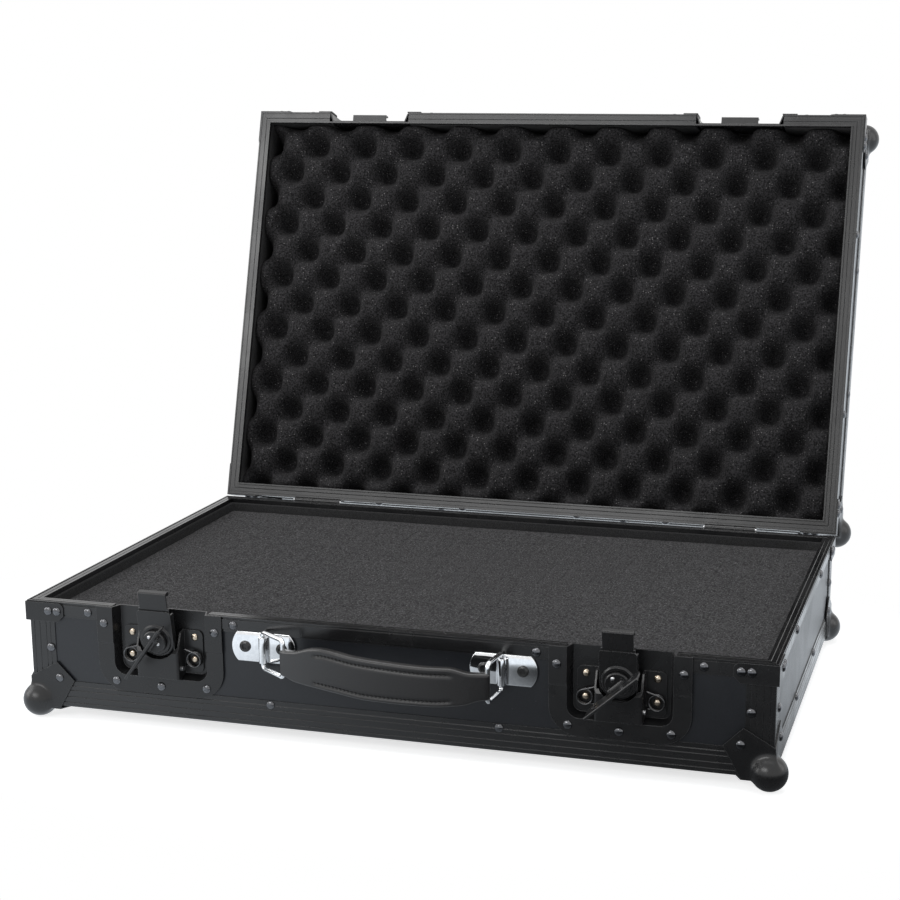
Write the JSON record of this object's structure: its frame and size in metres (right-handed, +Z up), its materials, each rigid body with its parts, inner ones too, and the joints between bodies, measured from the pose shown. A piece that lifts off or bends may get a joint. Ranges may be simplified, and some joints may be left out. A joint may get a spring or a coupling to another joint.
{
  "type": "flight case",
  "caption": "Rectangular flight case with pick foam in the tray, egg-crate foam in the hinged lid, butterfly latches, ball corners and a ring-hung padded handle.",
  "frame": {"origin": "middle of the underside of the bottom panel", "axes": "+X to the right along the front with the latches, +Y to the back where the hinges are, +Z up; the lid is stored open"},
  "size_m": [0.6516, 0.6596, 0.4966],
  "materials": {
    "laminated_plywood": "satin",
    "black_aluminium": "satin",
    "black_steel": "satin",
    "foam": "matte",
    "brass_rivets": "satin",
    "spring_steel": "satin",
    "bright_steel": "satin",
    "chrome": "polished",
    "grip_leather": "satin"
  },
  "bodies": {
    "tray": {"handle_plate_left": "chrome", "handle_plate_right": "chrome", "handle_screws": "chrome", "hinge_leaves_tray": "black_steel", "hinge_pins": "bright_steel", "latch_dish_left": "black_steel", "latch_dish_right": "black_steel", "latch_frame_left": "black_steel", "latch_frame_right": "black_steel", "latch_frame_rivets_left": "brass_rivets", "latch_frame_rivets_right": "brass_rivets", "latch_pivot_pins": "bright_steel", "latch_springs_left": "spring_steel", "latch_springs_right": "spring_steel", "pick_foam_block": "foam", "tray_back_panel": "laminated_plywood", "tray_ball_corners": "black_steel", "tray_bottom_edges": "black_aluminium", "tray_bottom_panel": "laminated_plywood", "tray_front_panel": "laminated_plywood", "tray_rim_back": "black_aluminium", "tray_rim_brackets": "black_steel", "tray_rim_front": "black_aluminium", "tray_rim_sides": "black_aluminium", "tray_side_panels": "laminated_plywood", "tray_upright_edges": "black_aluminium", "tray_wall_lining": "foam"},
    "lid": {"egg_crate_foam": "foam", "hinge_leaves_lid": "black_steel", "keeper_dish_left": "black_steel", "keeper_dish_right": "black_steel", "keeper_left": "black_steel", "keeper_right": "black_steel", "lid_back_panel": "laminated_plywood", "lid_ball_corners": "black_steel", "lid_front_panel": "laminated_plywood", "lid_outer_edges": "black_aluminium", "lid_rim_back": "black_aluminium", "lid_rim_brackets": "black_steel", "lid_rim_front": "black_aluminium", "lid_rim_sides": "black_aluminium", "lid_side_panels": "laminated_plywood", "lid_top_panel": "laminated_plywood", "lid_upright_edges": "black_aluminium", "lid_wall_lining": "foam"},
    "latch_cover_left": {"latch_cover_left": "black_steel"},
    "latch_hook_left": {"latch_hook_left": "black_steel"},
    "latch_cam_left": {"latch_cam_left": "black_steel", "latch_wing_pin_left": "bright_steel"},
    "latch_wing_left": {"latch_wing_left": "black_steel"},
    "latch_cover_right": {"latch_cover_right": "black_steel"},
    "latch_hook_right": {"latch_hook_right": "black_steel"},
    "latch_cam_right": {"latch_cam_right": "black_steel", "latch_wing_pin_right": "bright_steel"},
    "latch_wing_right": {"latch_wing_right": "black_steel"},
    "handle_ring_left": {"handle_ring_left": "chrome"},
    "handle_ring_right": {"handle_ring_right": "chrome"},
    "handle_grip": {"handle_grip": "grip_leather"}
  },
  "joints": [
    {"name": "lid_hinge", "type": "hinge", "parent": "tray", "child": "lid", "pos_m": [0, 0.206, 0.0915], "axis": [1, 0, 0], "range_deg": [0, 107]},
    {"name": "latch_tilt_left", "type": "hinge", "parent": "tray", "child": "latch_cover_left", "pos_m": [-0.1945, -0.203, 0.0428], "axis": [-1, 0, 0], "range_deg": [0, 10], "stiffness_Nm_per_rad": 0.1, "springref_deg": -17.19},
    {"name": "latch_turn_left", "type": "hinge", "parent": "latch_cover_left", "child": "latch_cam_left", "pos_m": [-0.1945, -0.20752, 0.0684], "axis": [0, -0.9848, -0.1736], "range_deg": [0, 180]},
    {"name": "latch_hook_slide_left", "type": "slide", "parent": "latch_cover_left", "child": "latch_hook_left", "axis": [0, 0.1736, -0.9848], "range_m": [0, 0.01]},
    {"name": "wing_fold_left", "type": "hinge", "parent": "latch_cam_left", "child": "latch_wing_left", "pos_m": [-0.1945, -0.21717, 0.0667], "axis": [0.6053, -0.1382, 0.7839], "range_deg": [0, 90]},
    {"name": "latch_tilt_right", "type": "hinge", "parent": "tray", "child": "latch_cover_right", "pos_m": [0.1945, -0.203, 0.0428], "axis": [-1, 0, 0], "range_deg": [0, 10], "stiffness_Nm_per_rad": 0.1, "springref_deg": -17.19},
    {"name": "latch_turn_right", "type": "hinge", "parent": "latch_cover_right", "child": "latch_cam_right", "pos_m": [0.1945, -0.20752, 0.0684], "axis": [0, 0.9848, 0.1736], "range_deg": [0, 180]},
    {"name": "latch_hook_slide_right", "type": "slide", "parent": "latch_cover_right", "child": "latch_hook_right", "axis": [0, 0.1736, -0.9848], "range_m": [0, 0.01]},
    {"name": "wing_fold_right", "type": "hinge", "parent": "latch_cam_right", "child": "latch_wing_right", "pos_m": [0.1945, -0.21717, 0.0667], "axis": [0.7343, -0.1179, 0.6685], "range_deg": [0, 90]},
    {"name": "handle_ring_left_turn", "type": "hinge", "parent": "tray", "child": "handle_ring_left", "pos_m": [-0.1007, -0.2072, 0.06655], "axis": [0, 0, -1], "range_deg": [0, 49.86]},
    {"name": "handle_grip_turn", "type": "hinge", "parent": "handle_ring_left", "child": "handle_grip", "pos_m": [-0.07613, -0.22441, 0.06655], "axis": [0, 0, 1], "range_deg": [0, 58.2]},
    {"name": "handle_ring_right_turn", "type": "hinge", "parent": "tray", "child": "handle_ring_right", "pos_m": [0.1007, -0.2072, 0.06655], "axis": [0, 0, -1], "range_deg": [0, 49.87]}
  ],
  "couplings": [
    {"joint": "latch_hook_slide_left", "follows": "latch_turn_left", "m_per_rad": 0.003183},
    {"joint": "latch_hook_slide_right", "follows": "latch_turn_right", "m_per_rad": 0.003183},
    {"joint": "handle_ring_right_turn", "follows": "handle_ring_left_turn", "ratio": 1},
    {"joint": "handle_grip_turn", "follows": "handle_ring_left_turn", "ratio": 1.1669}
  ]
}
